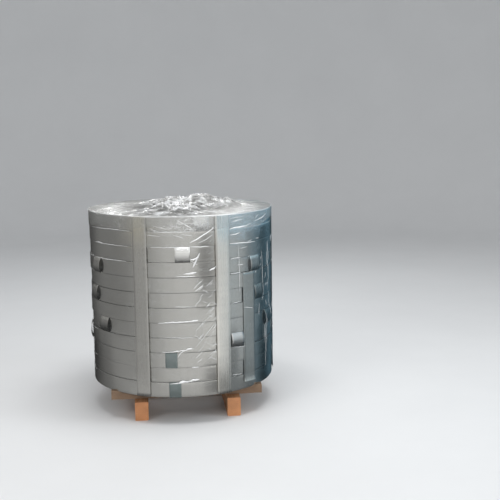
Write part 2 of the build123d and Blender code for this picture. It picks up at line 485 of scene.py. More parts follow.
def ring(number, growth, rows, along, across, slot):
    """One grid of a coil from rows of (share from outside to bore, inset, height)."""
    azimuth = tie_azimuths[number - 1] + 360 * growth
    outer = coil_radius - gauge * growth + winding_error(number, azimuth)
    inner = bore_radius + gauge * growth
    points = []
    for share, inset, height in rows:
        radius = (1 - share) * (outer - inset) + share * (inner + inset)
        points.append(around(azimuth, radius, coil_base(number) + height) + coil_middle(number))
    return grid(np.array(points), np.stack(np.meshgrid(along, across), -1), slot=slot)


def wall_rows(share):
    """Rows up a wall with both slit edges rounded."""
    bends = [math.radians(angle) for angle in (90, 60, 30)]
    curve = [(edge_round * (1 - math.cos(bend)), edge_round * (1 - math.sin(bend))) for bend in bends]
    rows = curve + [(0.0, h) for h in np.linspace(edge_round, coil_width - edge_round, 7)]
    rows += [(inset, coil_width - h) for inset, h in curve[::-1]]
    return [(share, inset, h) for inset, h in rows]


# %% Shade beside the seams, and steps on the ends
group_step, smallest_step, largest_step = 0.0008, 0.0001, 0.0004


def seam_shade(seam, azimuth):
    """How much the slit edges beside a seam are painted darker, as painted shade, or lighter where below zero.
    Seam 1 is under coil 1.
    """
    front = 0.9 if seam in (4, 5) else 0.35
    stops = [-180, -150, -24, -12]
    return painted_seam_shading.get(seam, 0.0) * np.interp(degrees_from(0, azimuth), stops, [front, 1, 1, front])


def end_steps(number, shares):
    """How far each turn on an end stands back, in metres."""
    chance = np.random.default_rng(400 + number)
    back = np.where((shares > 1 / 3) & (shares < 2 / 3), group_step, 0.0)
    for _ in range(9):
        start, length = chance.uniform(0.02, 0.9), chance.uniform(0.01, 0.08)
        inside = (shares > start) & (shares < start + length)
        back = back + np.where(inside, chance.uniform(smallest_step, largest_step), 0)
    return back


# %% Make the coils
def make_coil(number):
    """A wound ring with its turns on its ends."""
    growth = np.linspace(0, 1, lap_columns + 1)
    azimuth = tie_azimuths[number - 1] + 360 * growth
    arc = np.radians(360 * growth) * coil_radius + np.random.default_rng(200 + number).uniform(0, 50)
    # Painted shade and painted light on the slit edges beside the seams.
    low_edge, high_edge = seam_shade(number, azimuth), seam_shade(number - 1, azimuth)
    grids, painted_shading = [], []
    for share in (0.0, 1.0):
        rows = wall_rows(share)
        grids.append(ring(number, growth, rows, arc, [h for _, _, h in rows], 0))
        edges = [low_edge] * 3 + [azimuth * 0] * (len(rows) - 6) + [high_edge] * 3
        painted_shading.append(np.ravel(edges) * (1 - share))
    for upper in (True, False):
        seen = number == (1 if upper else coil_count)
        shares = np.linspace(0, 1, 56 if seen else 4)
        back = end_steps(number, shares) * seen
        back[[0, -1]] = 0
        rows = [(s, edge_round, h) for s, h in zip(shares, coil_width - back if upper else back)]
        radii = coil_radius + (bore_radius - coil_radius) * shares
        grids.append(ring(number, growth, rows, growth, radii, 1))
        painted_shading.append(np.zeros(len(grids[-1]["points"])))
    shades = {"PaintedShadeAndLight": np.concatenate(painted_shading)}
    piece = make_piece(f"wound_coil_{number:02d}", grids, [coil_steel, turn_ends], shades=shades)
    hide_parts(f"coil_{number:02d}")
    return piece


coils = [make_coil(number) for number in range(1, coil_count + 1)]
print("coils", len(coils), "faces", [len(c.data.polygons) for c in coils])

# %% [markdown]
# ## Bands of strip
#
# A band or a guard strip is flat strip bent in one direction only. A section of it, a thin
# rectangle with rounded corners, is carried along a path that lies in a plane through the axis of the
# stack. The bows, hooks and sprung feet are all in the path. It is the easiest shape to get right,
# and bending a flat grid keeps the Laid map true.

# %% Helper that bends a band
bevel = 0.0004
crossbow = 0.0006  # how far the edges of loose strip bend away from its middle


def sideways(azimuth):
    """The direction round the axis at an azimuth."""
    return np.array([np.cos(np.radians(azimuth)), np.sin(np.radians(azimuth)), 0])


def band(path, run, azimuth, middle, width, closed, seed, camber=0.0):
    """Strip carried along a path of (radius, height). run is the distance along it."""
    chance = np.random.default_rng(seed)
    half, thin = width / 2, gauge / 2
    corner = thin * 0.3
    across = np.linspace(-half + bevel, half - bevel, 7)
    section = [(a, thin) for a in across] + [(half, corner), (half, -corner)]
    section += [(a, -thin) for a in across[::-1]] + [(-half, -corner), (-half, corner)]
    section = np.array(section)
    ahead = np.roll(path, -1, 0) - np.roll(path, 1, 0) if closed else np.gradient(path, axis=0)
    ahead /= np.linalg.norm(ahead, axis=1)[:, None]
    bend = camber * np.sin(math.pi * run / run[-1]) * chance.choice([-1, 1])
    dip = 0 if closed else crossbow * (section[:, 0] / half) ** 2
    off = section[:, 1] - dip
    reach = path[:, :1] + ahead[:, 1:] * off
    level = path[:, 1:] - ahead[:, :1] * off
    shift = section[:, 0] + bend[:, None]
    rows = around(azimuth) * reach[..., None] + sideways(azimuth) * shift[..., None]
    rows = rows + np.array([0, 0, 1.0]) * level[..., None] + middle
    along = run[:, None] + chance.uniform(0, 50)
    laid = np.stack(np.broadcast_arrays(along, section[None, :, 0]), -1)
    if closed:
        rows = np.concatenate([rows, rows[:1]])
        laid = np.concatenate([laid, laid[:1] + (run[-1] - run[0], 0)])
    else:
        first, last = (np.repeat(end.mean(1, keepdims=True), rows.shape[1], 1) for end in (rows[:1], rows[-1:]))
        rows = np.concatenate([first, rows, last])
        laid = np.concatenate([laid[:1], laid, laid[-1:]])
    return grid(rows, laid, wrap=True)


# %% [markdown]
# ## Ties
#
# Three bands hold each coil: through the bore, over both ends and down the outside. Pulled
# tight they lie flat. Half of them have slackened and bow out between the two edges of the coil, so
# that the upper part mirrors the lamps and the lower part the floor. The bows also carry painted
# shade towards the foot and painted light at the top. The crown of such a bow lies below the
# middle, because the band's weight pulls it down.

# %% Path of a tie
widest_bow = 0.0115
bow_shares = (1.0, 0.8, 0.6)
bows = {1: 0.005, 3: widest_bow, 4: widest_bow, 6: 0.0105, 8: widest_bow, 9: 0.0105}
tight_bow = 0.0016
low_crown, high_crown = 0.40, 0.62
narrow_width = 0.062
narrow_ties = (10, 12)
tie_spacings = {4: 111.0}
# Ties on coils 1, 3 and 9 get the painted-bright steel, those on coils 10 and 12 the painted-dark steel.
tie_finishes = {1: tie_steel_painted_bright, 3: tie_steel_painted_bright, 9: tie_steel_painted_bright, 10: tie_steel_painted_dark, 12: tie_steel_painted_dark}
inner_leg = 0.25027
outer_leg = coil_radius + 0.0012
tie_face = coil_radius + 0.0017
bend_start, bend_end, bore_bend = 0.004, 0.0008, 0.0004


def bands_of(number):
    """The bow and the azimuth of each band of a coil, and the width and the crown of all three."""
    bow, spacing = bows.get(number, tight_bow), tie_spacings.get(number, 120.0)
    each = [(bow * share, tie_azimuths[number - 1] + k * spacing) for k, share in enumerate(bow_shares)]
    width = narrow_width if number in narrow_ties else strip_width
    return each, width, low_crown if number in bows else high_crown


def bow_shape(share, crown):
    """How far a band stands off between the foot (0) and the top (1) of a coil; 1 at its crown."""
    below = 1 - (np.clip(crown - share, 0, None) / crown) ** 2
    above = 1 - (np.clip(share - crown, 0, None) / (1 - crown)) ** 2
    return np.minimum(below, above)


def tie_path(bow, crown):
    """The loop of a tie: the bow, the lids on the coil's ends and the leg through the bore."""
    top, foot = coil_width + gauge / 2, -gauge / 2
    bowed = [(outer_leg + bow * bow_shape(s, crown), coil_width * s) for s in np.linspace(0.97, 0.03, 13)]
    return rounded([
        (coil_radius - bend_start, top), (coil_radius, top), (outer_leg, top - bend_end), *bowed,
        (outer_leg, foot + bend_end), (coil_radius, foot), (coil_radius - bend_start, foot),
        (inner_leg + bend_start, foot), (inner_leg, foot + bore_bend), (inner_leg, foot + bend_start),
        (inner_leg, top - bend_start), (inner_leg, top - bore_bend), (inner_leg + bend_start, top),
    ], closed=True)


# %% Make the ties
def make_ties(number):
    """The bands of one coil."""
    grids, painted_shading = [], []
    each, width, crown = bands_of(number)
    middle = coil_middle(number) + (0, 0, coil_base(number))
    painted_shade_from = 0.52 if number < 6 else 0.74
    for index, (bow, azimuth) in enumerate(each):
        path = tie_path(bow, crown)
        path = np.concatenate([path, path[:1]])
        run = run_along(path)
        grids.append(band(path[:-1], run[:-1], azimuth, middle, width, True, 500 + 3 * number + index))
        share = path[:, 1] / coil_width
        # Painted shade darkens the lower part of a bow, higher up on the lower coils; painted light makes its top
        # lighter.
        shade = 0.84 * held((painted_shade_from - share) / 0.46) - 0.5 * held((share - 0.78) / 0.1)
        columns = len(grids[-1]["points"]) // len(path)
        painted_shading.append(np.repeat(shade * (path[:, 0] > coil_radius) * bow / widest_bow, columns))
    finish = tie_finishes.get(number, strip_steel)
    shades = {"PaintedShadeAndLight": np.concatenate(painted_shading)}
    piece = make_piece(f"tie_bands_{number:02d}", grids, [finish], shades=shades)
    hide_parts(f"coil_{number:02d}_ties")
    return piece


tie_pieces = [make_ties(number) for number in range(1, coil_count + 1)]
print("ties", len(tie_pieces), "faces", sum(len(p.data.polygons) for p in tie_pieces))

# %% [markdown]
# ## Guard strips
#
# Four lengths of strip stand against the side and hook over the top edge, and a short one has slid
# down inside the film. It leans on the coils with one edge only, and its foot has sprung outwards a
# little. They are springy, so none is quite straight: a wave of half a millimetre in the path is
# enough to bend the light in them.

# %% Sizes of the guard strips
guard_azimuths = (-27.0, 22.0, 93.0, 213.0)
guard_radius = 0.5063
guard_foot = deck_height + 0.001
hook_level = stack_top + 0.0008
hook_end = 0.4068
strip_step, guard_wave = 0.02, 0.0005
guard_camber, slipped_camber = 0.0012, 0.0005
slipped_azimuth = 33.5
slipped_radius = 0.50252
slipped_shift = 0.028 + strip_width / 2
slipped_foot = deck_height + 0.038
slipped_top = coil_base(5) + coil_width
sprung_foot = ((0.0060, 0.0005), (0.0042, 0.0040), (0.0014, 0.0120), (0.0, 0.0260))  # outwards, up
print("guard strips", len(guard_azimuths), "hook", round(guard_radius - hook_end, 4), "m in")


# %% Make the guard strips
def wavy(path, run, seed, size):
    """A long path pushed in and out a little."""
    chance = np.random.default_rng(seed)
    moved = path.copy()
    for turns in (1.5, 3.2, 5.7):
        moved[:, 0] += size / turns * np.sin(2 * math.pi * (turns * run / run[-1] + chance.uniform()))
    return moved


def make_guard(index, azimuth):
    """A strip up the side, bent over the top edge."""
    path = rounded([
        (guard_radius, guard_foot),
        (guard_radius, hook_level - bend_start), (guard_radius, hook_level - bend_end),
        (guard_radius - bend_end, hook_level), (guard_radius - bend_start, hook_level),
        (hook_end, hook_level),
    ], times=3)
    path = np.concatenate([spread(path[:2], strip_step)[0][:-1], path[1:]])
    run = run_along(path)
    settled = held((hook_level - path[:, 1]) / 0.1)[:, None]
    path = path + (wavy(path, run, 600 + index, guard_wave) - path) * settled
    made = band(path, run, azimuth, np.zeros(3), strip_width, False, 610 + index, guard_camber)
    # Guard strip 2 gets the painted-bright steel.
    finish = guard_steel_painted_bright if index == 2 else strip_steel
    piece = make_piece(f"guard_band_{index}", [made], [finish])
    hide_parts(f"guard_strip_{index}")
    return piece


guards = [make_guard(index, azimuth) for index, azimuth in enumerate(guard_azimuths, 1)]
print("guards", [g.name for g in guards])


# %% Make the slipped strip
def make_slipped():
    """The short strip with its foot sprung outwards."""
    foot = [(slipped_radius + out, slipped_foot + up) for out, up in sprung_foot]
    path = rounded(foot + [(slipped_radius, slipped_top)], times=3)
    path = np.concatenate([path[:-1], spread(path[-2:], strip_step)[0][1:]])
    aside = sideways(slipped_azimuth) * slipped_shift
    made = band(path, run_along(path), slipped_azimuth, aside, strip_width, False, 620, slipped_camber)
    # Painted light: the foot of the strip is made lighter. Its steel is the painted-dark copy.
    painted_shading = -0.75 * held(1 - (made["points"][:, 2] - slipped_foot) / 0.040)
    piece = make_piece("slipped_band", [made], [slipped_steel_painted_dark], shades={"PaintedShadeAndLight": painted_shading})
    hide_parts("slipped_strip")
    return piece


slipped = make_slipped()
print("slipped strip", slipped.name)

# %% [markdown]
# ## Sawn timber
#
# The skid is fresh sawn softwood. Year rings are shells round the middle of the trunk, so one
# solid pattern, the distance from a line that runs along the piece, gives arcs on the end grain and
# long stripes on the sides, and they meet at the corner as they do in a real board. Knots are places
# where the rings swerve round a dark core. The group takes coordinates with X along the trunk.

# %% Group: sawn grain
year_ring = 0.0042


def make_sawn_grain():
    """Year rings, fibres, knots and saw marks from coordinates with X along the trunk."""
    group, given, result = new_group("sawn_grain", {"Trunk": None}, ("Late wood", "Knot", "Fibre", "Height"))
    trunk = given["Trunk"]
    sway = noise_of(group, trunk, (2.5, 9, 9), 2.0, 0.5, "Color")
    bent = vector_of(group, "ADD", trunk, vector_of(group, "SCALE", sway, 0.020))
    sized = put(group, "Mapping", {"Vector": trunk, "Scale": (3.2, 9, 9)})[0]
    cell = put(group, "TexVoronoi", {"Vector": sized, "Scale": 1.0})["Distance"]
    knot = curve_of(group, cell, 0.05, 0.15, 1.0, 0.0)
    _, y, z = put(group, "SeparateXYZ", {"Vector": bent})
    distance = sum_of(group, "SQRT", total_of(group, 0.0, (y, y), (z, z)))
    distance = total_of(group, distance, (knot, 0.012))
    turn = sum_of(group, "FRACT", sum_of(group, "DIVIDE", distance, year_ring))
    late = sum_of(group, "MULTIPLY", curve_of(group, turn, 0.35, 0.92), curve_of(group, turn, 1.0, 0.94))
    fibre = noise_of(group, trunk, (25, 900, 900), 2.0, 0.6)
    saw = noise_of(group, trunk, (260, 6, 6), 1.0, 0.5)
    height = total_of(group, 0.0, (fibre, 0.8), (late, 0.5), (saw, 0.7))
    feed(group, result, {"Late wood": late, "Knot": knot, "Fibre": fibre, "Height": height})
    return group


sawn_grain = make_sawn_grain()
print("group", sawn_grain.name)

# %% [markdown]
# ## Finish of the timbers
#
# Each timber came from its own place in a trunk, so each gets a finish of its own: another middle of
# the rings and another tint. The front board's tint is much darker and greyer: that is painted
# shade, for it lies under the overhanging coils. The end grain drinks dirt and is darker and more
# orange than the sides. Which faces are end grain is read from the face's direction.

# %% Timber finish
early_wood, late_wood, knot_wood = (0.78, 0.50, 0.30), (0.56, 0.29, 0.15), (0.20, 0.09, 0.045)
end_tint = (0.90, 0.80, 0.72)


def make_timber(name, along, heart, tint):
    """Fresh sawn softwood. along is 0 for X and 1 for Y; heart is the middle of the rings."""
    material, tree, shader = new_finish(name)
    place = put(tree, "TexCoord")["Object"]
    parts = put(tree, "SeparateXYZ", {"Vector": vector_of(tree, "SUBTRACT", place, heart)})
    trunk = put(tree, "CombineXYZ", {"X": parts[along], "Y": parts[1 - along], "Z": parts[2]})[0]
    grain = put(tree, "Group", {"Trunk": trunk}, node_tree=sawn_grain)
    facing = put(tree, "SeparateXYZ", {"Vector": put(tree, "NewGeometry")["True Normal"]})[along]
    end = curve_of(tree, sum_of(tree, "ABSOLUTE", facing), 0.6, 0.9)
    pale, dark = ((*(t * c for t, c in zip(tint, wood)), 1) for wood in (early_wood, late_wood))
    colour = blend_of(tree, sum_of(tree, "MULTIPLY", grain["Late wood"], 0.75), pale, dark)
    colour = blend_of(tree, sum_of(tree, "MULTIPLY", grain["Knot"], 0.8), colour, (*knot_wood, 1))
    colour = blend_of(tree, end, colour, blend_of(tree, 1.0, colour, (*end_tint, 1), "MULTIPLY"))
    grime = noise_of(tree, place, (7, 7, 14), 4.0, 0.65, shift=(3, 1, 2))
    grime = curve_of(tree, grime, 0.3, 0.7, 0.78, 1.06)
    shade = sum_of(tree, "MULTIPLY", total_of(tree, 0.83, (grain["Fibre"], 0.34)), grime)
    feed(tree, shader, {
        "Base Color": shaded(tree, colour, shade),
        "Roughness": total_of(tree, 0.62, (grain["Fibre"], 0.2)),
        "Normal": relief_of(tree, grain["Height"], 0.7, 0.0008),
        "Specular IOR Level": 0.25,
    })
    return material


# %% [markdown]
# ## The skid
#
# Two runners carry three boards. A sawn timber isn't a true box: the saw wandered a little, the wood
# shrank unevenly and the long edges are broken. Its section is carried along its length with those
# small errors, and rings of points that shrink to the middle close the two ends.

# %% Make the timbers
broken_edge = 0.0022
outline_step, station_step = 0.008, 0.012
saw_wander, shrinkage = 0.00012, 0.004


def plank_outline(half_w, half_h):
    """The section of a timber with its edges broken."""
    corners = []
    for x, y in ((1, 1), (-1, 1), (-1, -1), (1, -1)):
        for cut in ((0, 1), (1, 0))[::x * y]:
            corners.append((x * (half_w - broken_edge * cut[0]), y * (half_h - broken_edge * cut[1])))
    return spread(corners, outline_step, closed=True)[0]


def make_plank(name, node, along, seed, tint):
    """A timber in the place of a CAD node. along is 0 for X and 1 for Y."""
    low, high = (np.array(corner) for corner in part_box(node))
    middle, size = (low + high) / 2, high - low
    across = 1 - along
    chance = np.random.default_rng(seed)
    outline = plank_outline(size[across] / 2, size[2] / 2)
    waves = [(chance.uniform(1, 9), chance.uniform(0, 6.28), chance.uniform(-1, 1, 2)) for _ in range(6)]
    rows = []
    for station in np.linspace(-size[along] / 2, size[along] / 2, int(size[along] / station_step)):
        wander = sum(a * saw_wander * math.sin(k * station + p) for k, p, a in waves)
        squeeze = 1 - shrinkage * (0.5 + 0.5 * math.sin(7 * station + waves[0][1]))
        rows.append((station, outline * squeeze + wander * [1, 0.3]))
    closing = (0.0, 0.25, 0.5, 0.75)
    first, last = ([(end[0], end[1] * s) for s in closing] for end in (rows[0], rows[-1]))
    rows = first + rows + last[::-1]
    points = np.zeros((len(rows), len(outline), 3))
    for index, (station, shape) in enumerate(rows):
        points[index, :, along] = station
        points[index, :, across] = shape[:, 0]
        points[index, :, 2] = shape[:, 1]
    points += middle
    heart = middle.copy()
    heart[across] += chance.uniform(-0.06, 0.06)
    heart[2] -= chance.uniform(0.05, 0.11)
    finish = make_timber(name + "_wood", along, tuple(heart), tint)
    piece = make_piece(name, [grid(points, points[:, :, [along, 2]], wrap=True)], [finish])
    piece.data.set_sharp_from_angle(angle=math.radians(40))
    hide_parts(node)
    return piece


timbers = [
    # The front board's dark tint is painted shade from the coils above it.
    make_plank("board_front", "skid_board_1", 0, 31, (0.32, 0.35, 0.40)),
    make_plank("board_middle", "skid_board_2", 0, 32, (0.90, 0.93, 0.95)),
    make_plank("board_back", "skid_board_3", 0, 33, (1.02, 0.98, 0.92)),
    make_plank("runner_left", "skid_runner_left", 1, 34, (0.84, 0.70, 0.62)),
    make_plank("runner_right", "skid_runner_right", 1, 35, (0.90, 0.77, 0.70)),
]
print("timbers", [t.name for t in timbers])

# %% [markdown]
# ## How the film lies round the side
#
# Stretch film is wound under tension, so it touches only what stands proud: bands, guard strips
# and the edges of the coils. Between those it spans in straight lines. A cloth simulation of three
# square metres of film this thin would need a very fine mesh. Pulling a grid of radii tight does the
# same in a second: each point moves to the mean of its neighbours, a little further in because the
# wall is round, but never inside what lies under it.

# %% Rows and columns of the film
film_columns = 480
film_azimuths = np.linspace(-180, 180, film_columns, endpoint=False)
film_foot = deck_height + 0.0035
film_skin = 0.0004
row_shares = (0.012, 0.035, 0.08, 0.15, 0.24, 0.34, 0.44, 0.54, 0.64, 0.74, 0.83, 0.91, 0.96, 0.985)


def film_levels():
    """Heights of the rows of the film, close together where two coils meet."""
    levels = []
    for number in range(coil_count, 0, -1):
        levels += list(coil_base(number) + coil_width * np.array(row_shares))
        if number > 1:
            levels.append(coil_base(number) + coil_width + gauge / 2)
    return np.array([film_foot] + [h for h in levels if h > film_foot + 0.001] + [stack_top - 0.0003])


levels = film_levels()
print("film rows", len(levels), "columns", film_columns)


# %% Radius of what lies under the film
strip_face = 0.0006


def flat_reach(centre, reach, width, shift=0.0):
    """Radius of a flat band at each azimuth, and 0 where it isn't. shift is how far it lies aside."""
    turn = np.radians(degrees_from(centre, film_azimuths))
    inside = np.abs(np.tan(turn) * reach - shift) < width / 2
    return np.where((np.abs(turn) < 1) & inside, reach / np.cos(np.clip(turn, -1, 1)), 0)


def under_film(levels):
    """The radius that the film can't go inside, for each level and azimuth."""
    under = np.zeros((len(levels), film_columns))
    for number in range(1, coil_count + 1):
        height = levels - coil_base(number)
        offset = around(film_azimuths) @ coil_middle(number)
        wall = coil_radius + winding_error(number, film_azimuths) + offset
        edge = np.minimum(height, coil_width - height)
        on = (height >= 0) & (height <= coil_width)
        drop = np.where(on, np.clip(edge_round - edge, 0, edge_round) ** 2 * 400, 1)
        under = np.maximum(under, wall - drop[:, None])
        each, width, crown = bands_of(number)
        arch = held(bow_shape(held((height + gauge) / coil_pitch), crown))
        on = (height > -gauge) & (height < coil_pitch)
        for bow, centre in each:
            reach = flat_reach(centre, 1.0, width / coil_radius)
            swell = tie_face + bow * arch
            reach = swell[:, None] * reach + offset * (reach > 0)
            under = np.maximum(under, reach * on[:, None])
    for centre in guard_azimuths:
        under = np.maximum(under, flat_reach(centre, guard_radius + strip_face, strip_width))
    reach = flat_reach(slipped_azimuth, slipped_radius + strip_face, strip_width, slipped_shift)
    lift = sprung_foot[0][0] * held(1 - (levels - slipped_foot) / sprung_foot[-1][1]) ** 2
    on = (levels > slipped_foot) & (levels < slipped_top)
    return np.maximum(under, (reach + lift[:, None] * (reach > 0)) * on[:, None]) + film_skin


# %% Pull the film tight
def pull_tight(under, turns):
    """Draws the film in over what lies under it."""
    step = math.radians(360 / film_columns)
    sink = 0.5 * step * step * coil_radius
    radius = under.copy()
    for _ in range(turns):
        sides = (np.roll(radius, 1, 1) + np.roll(radius, -1, 1)) / 2 - sink
        below = np.concatenate([radius[:1], radius[:-1]])
        above = np.concatenate([radius[1:], radius[-1:]])
        radius = np.maximum(under, 0.62 * sides + 0.19 * (below + above))
    return radius


film_radius = pull_tight(under_film(levels), 500)
print("film radius", film_radius.min().round(4), "to", film_radius.max().round(4))

# %% [markdown]
# ## Finish of the film
#
# Clear film has no colour of its own. What is seen is its gloss: little when looked at squarely, much
# at a slant, and bright white where a crease faces a lamp. A see-through surface shows gloss only in
# proportion to its Alpha, so the film is given the full reflection of a mirror and a small Alpha that
# grows towards the edge and in creases. Several layers and trapped dust add a faint haze. Two values
# at the points of a mesh add to this. One says where the film is hazy, and on the top it also
# carries painted highlights: the crests of the heap, the rim and the film hanging over it are made
# paler and more opaque. The other is painted shade, which darkens the valleys where folds shade each
# other. The crinkles are shared by the film on the side and on the top, so they are a group.

# %% Group: crinkles
def make_crinkles():
    """Creases and stretch lines of film."""
    inputs = {"Place": None, "Stretch": None, "Size": 1.0, "Amount": 0.5}
    group, given, result = new_group("film_crinkles", inputs, ("Height", "Crease"))
    wide = vector_of(group, "MULTIPLY", given["Place"], given["Stretch"])
    sized = vector_of(group, "SCALE", wide, given["Size"])
    sway = noise_of(group, sized, 3.0, 2.0, 0.5, "Color")
    bent = vector_of(group, "ADD", sized, vector_of(group, "SCALE", sway, 0.35))
    broad, fine = noise_of(group, bent, 7.0, 1.0, 0.4), noise_of(group, bent, 24.0, 2.0, 0.5)
    ridge, small = (
        curve_of(group, sum_of(group, "ABSOLUTE", sum_of(group, "SUBTRACT", noise, 0.5)), 0.0, width, 1.0, 0.0)
        for noise, width in ((broad, 0.055), (fine, 0.06))
    )
    where = curve_of(group, noise_of(group, sized, 1.7, 2.0, 0.5), 0.45, 0.62)
    where = sum_of(group, "MULTIPLY", where, given["Amount"])
    crease = sum_of(group, "MULTIPLY", total_of(group, ridge, (small, 0.6)), where, clamp=True)
    height = total_of(group, broad, (crease, 0.8), (fine, 0.25))
    feed(group, result, {"Height": height, "Crease": crease})
    return group


film_crinkles = make_crinkles()
print("group", film_crinkles.name)


# %% Film finish
def make_film(name, colour, clear, haze, slant, creased, roughness, stretch, size, amount, relief, metal=1.0):
    """Clear stretch film; clear is its Alpha when looked at squarely."""
    material, tree, shader = new_finish(name)
    laid = put(tree, "UVMap", uv_map="Laid")[0]
    given = {"Place": laid, "Stretch": stretch, "Size": size, "Amount": amount}
    crinkle = put(tree, "Group", given, node_tree=film_crinkles)
    haze_and_glint, valley_shade = (put(tree, "Attribute", attribute_name=key)["Fac"] for key in ("HazeAndGlint", "ValleyShade"))
    bump = relief_of(tree, crinkle["Height"], relief, 0.002)
    weight = put(tree, "LayerWeight", {"Blend": 0.5, "Normal": bump})["Facing"]
    dust = curve_of(tree, noise_of(tree, laid, (2.2, 5.0, 1), 4.0, 0.6), 0.35, 0.75, 0.0, haze)
    edge = sum_of(tree, "POWER", weight, 4.0)
    alpha = total_of(tree, clear, (edge, slant), (dust, 1.0), (crinkle["Crease"], creased))
    tint = blend_of(tree, dust, (*colour, 1), (0.80, 0.82, 0.82, 1))
    # The haze value also carries painted highlights, which pale the film here.
    pale = sum_of(tree, "MULTIPLY_ADD", crinkle["Crease"], 0.7, haze_and_glint, clamp=True)
    tint = blend_of(tree, pale, tint, (0.95, 0.96, 0.97, 1))
    feed(tree, shader, {
        # Painted shade: the valleys between folds are darkened towards near black.
        "Base Color": blend_of(tree, valley_shade, tint, (0.10, 0.095, 0.085, 1)),
        "Alpha": sum_of(tree, "ADD", alpha, haze_and_glint, clamp=True),
        "Roughness": total_of(tree, roughness, (dust, 0.8)),
        "Normal": bump,
        "Metallic": metal,
    })
    return material


side_film = make_film(
    "film_side_clear", (0.93, 0.95, 0.96), clear=0.045, haze=0.07, slant=0.30, creased=0.26,
    roughness=0.10, stretch=(1.0, 2.6, 1.0), size=6.0, amount=0.7, relief=0.35,
)
pleat_film = make_film(
    "film_pleat", (0.99, 0.995, 1.0), clear=0.94, haze=0.10, slant=0.20, creased=0.25,
    roughness=0.16, stretch=(3.0, 1.0, 1.0), size=9.0, amount=0.6, relief=0.25, metal=0.35,
)
top_film = make_film(
    "film_top_gathered", (0.66, 0.665, 0.65), clear=0.32, haze=0.10, slant=0.30, creased=0.24,
    roughness=0.23, stretch=(1.0, 1.0, 1.0), size=4.0, amount=1.0, relief=0.40, metal=0.66,
)
print("film finishes", side_film.name, pleat_film.name, top_film.name)

# %% [markdown]
# ## The film on the side
#
# The pulled-tight radii become one sheet. Where the film bridges from coil to coil it draws slightly
# in at each seam. Long shallow waves run with the winding, because each turn of film was laid at a
# small slant. It is hazy where more layers lie on one another or air is caught under them.

# %% Make the side film
cloudy_spots = [  # azimuth, height, width in degrees, reach up and down, haze
    (46, 1.015, 20, 0.065, 0.36), (44, 0.90, 17, 0.10, 0.08), (-8, 1.03, 16, 0.050, 0.08),
    (9.6, 1.048, 4.6, 0.034, 0.62), (-54, 1.006, 24, 0.020, 0.09), (12, 0.700, 6, 0.06, 0.10),
    (0, 0.545, 12, 0.03, 0.08), (150, 1.01, 40, 0.06, 0.14), (215, 0.80, 30, 0.12, 0.08),
    (110, 0.50, 25, 0.10, 0.07),
]
hem_waves = ((5, 0.0016), (13, 0.0009))
film_wave = 0.00009


def film_waves(azimuth, height):
    """Shallow waves in the film, always outwards, in metres."""
    chance = np.random.default_rng(77)
    wave = np.zeros(np.broadcast(azimuth, height).shape)
    for _ in range(16):
        slant = chance.normal(0, 0.5)
        count = chance.integers(6, 26)
        rise = chance.uniform(20, 70) * slant
        ripple = np.sin(np.radians(count * azimuth) + rise * height + chance.uniform(0, 6.28))
        wave += film_wave * held(ripple) ** 2
    return wave


def make_side_film():
    """The film wound round the stack."""
    azimuth, height = np.meshgrid(np.append(film_azimuths, 180.0), levels)
    radius = np.concatenate([film_radius, film_radius[:, :1]], 1) + film_waves(azimuth, height)
    points = around(azimuth, radius, height)
    hem = sum(size * np.sin(np.radians(azimuth[0] * count)) for count, size in hem_waves)
    points[0, :, 2] += np.clip(hem, -0.001, 0.004)
    haze = np.zeros_like(azimuth)
    for centre, level, width, rise, amount in cloudy_spots:
        aside = degrees_from(centre, azimuth) / width
        haze += amount * np.exp(-(aside ** 4) - ((height - level) / rise) ** 4)
    made = grid(points, np.stack([np.radians(azimuth) * coil_radius, height], -1))
    piece = make_piece("stretch_film_side", [made], [side_film], closed=False, shades={"HazeAndGlint": haze})
    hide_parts("film_side")
    return piece


side_sheet = make_side_film()
print("side film faces", len(side_sheet.data.polygons))

# %% [markdown]
# ## Pleats
#
# Where the film was slack it folded on itself, and such a pleat is a narrow ridge several layers
# thick that catches the light. Each pleat here is a small ribbon, arched across and pointed at its
# ends, laid on the film along a line. Those that can be seen in the photograph are listed one by
# one; the other sides get seeded ones of the same kinds.

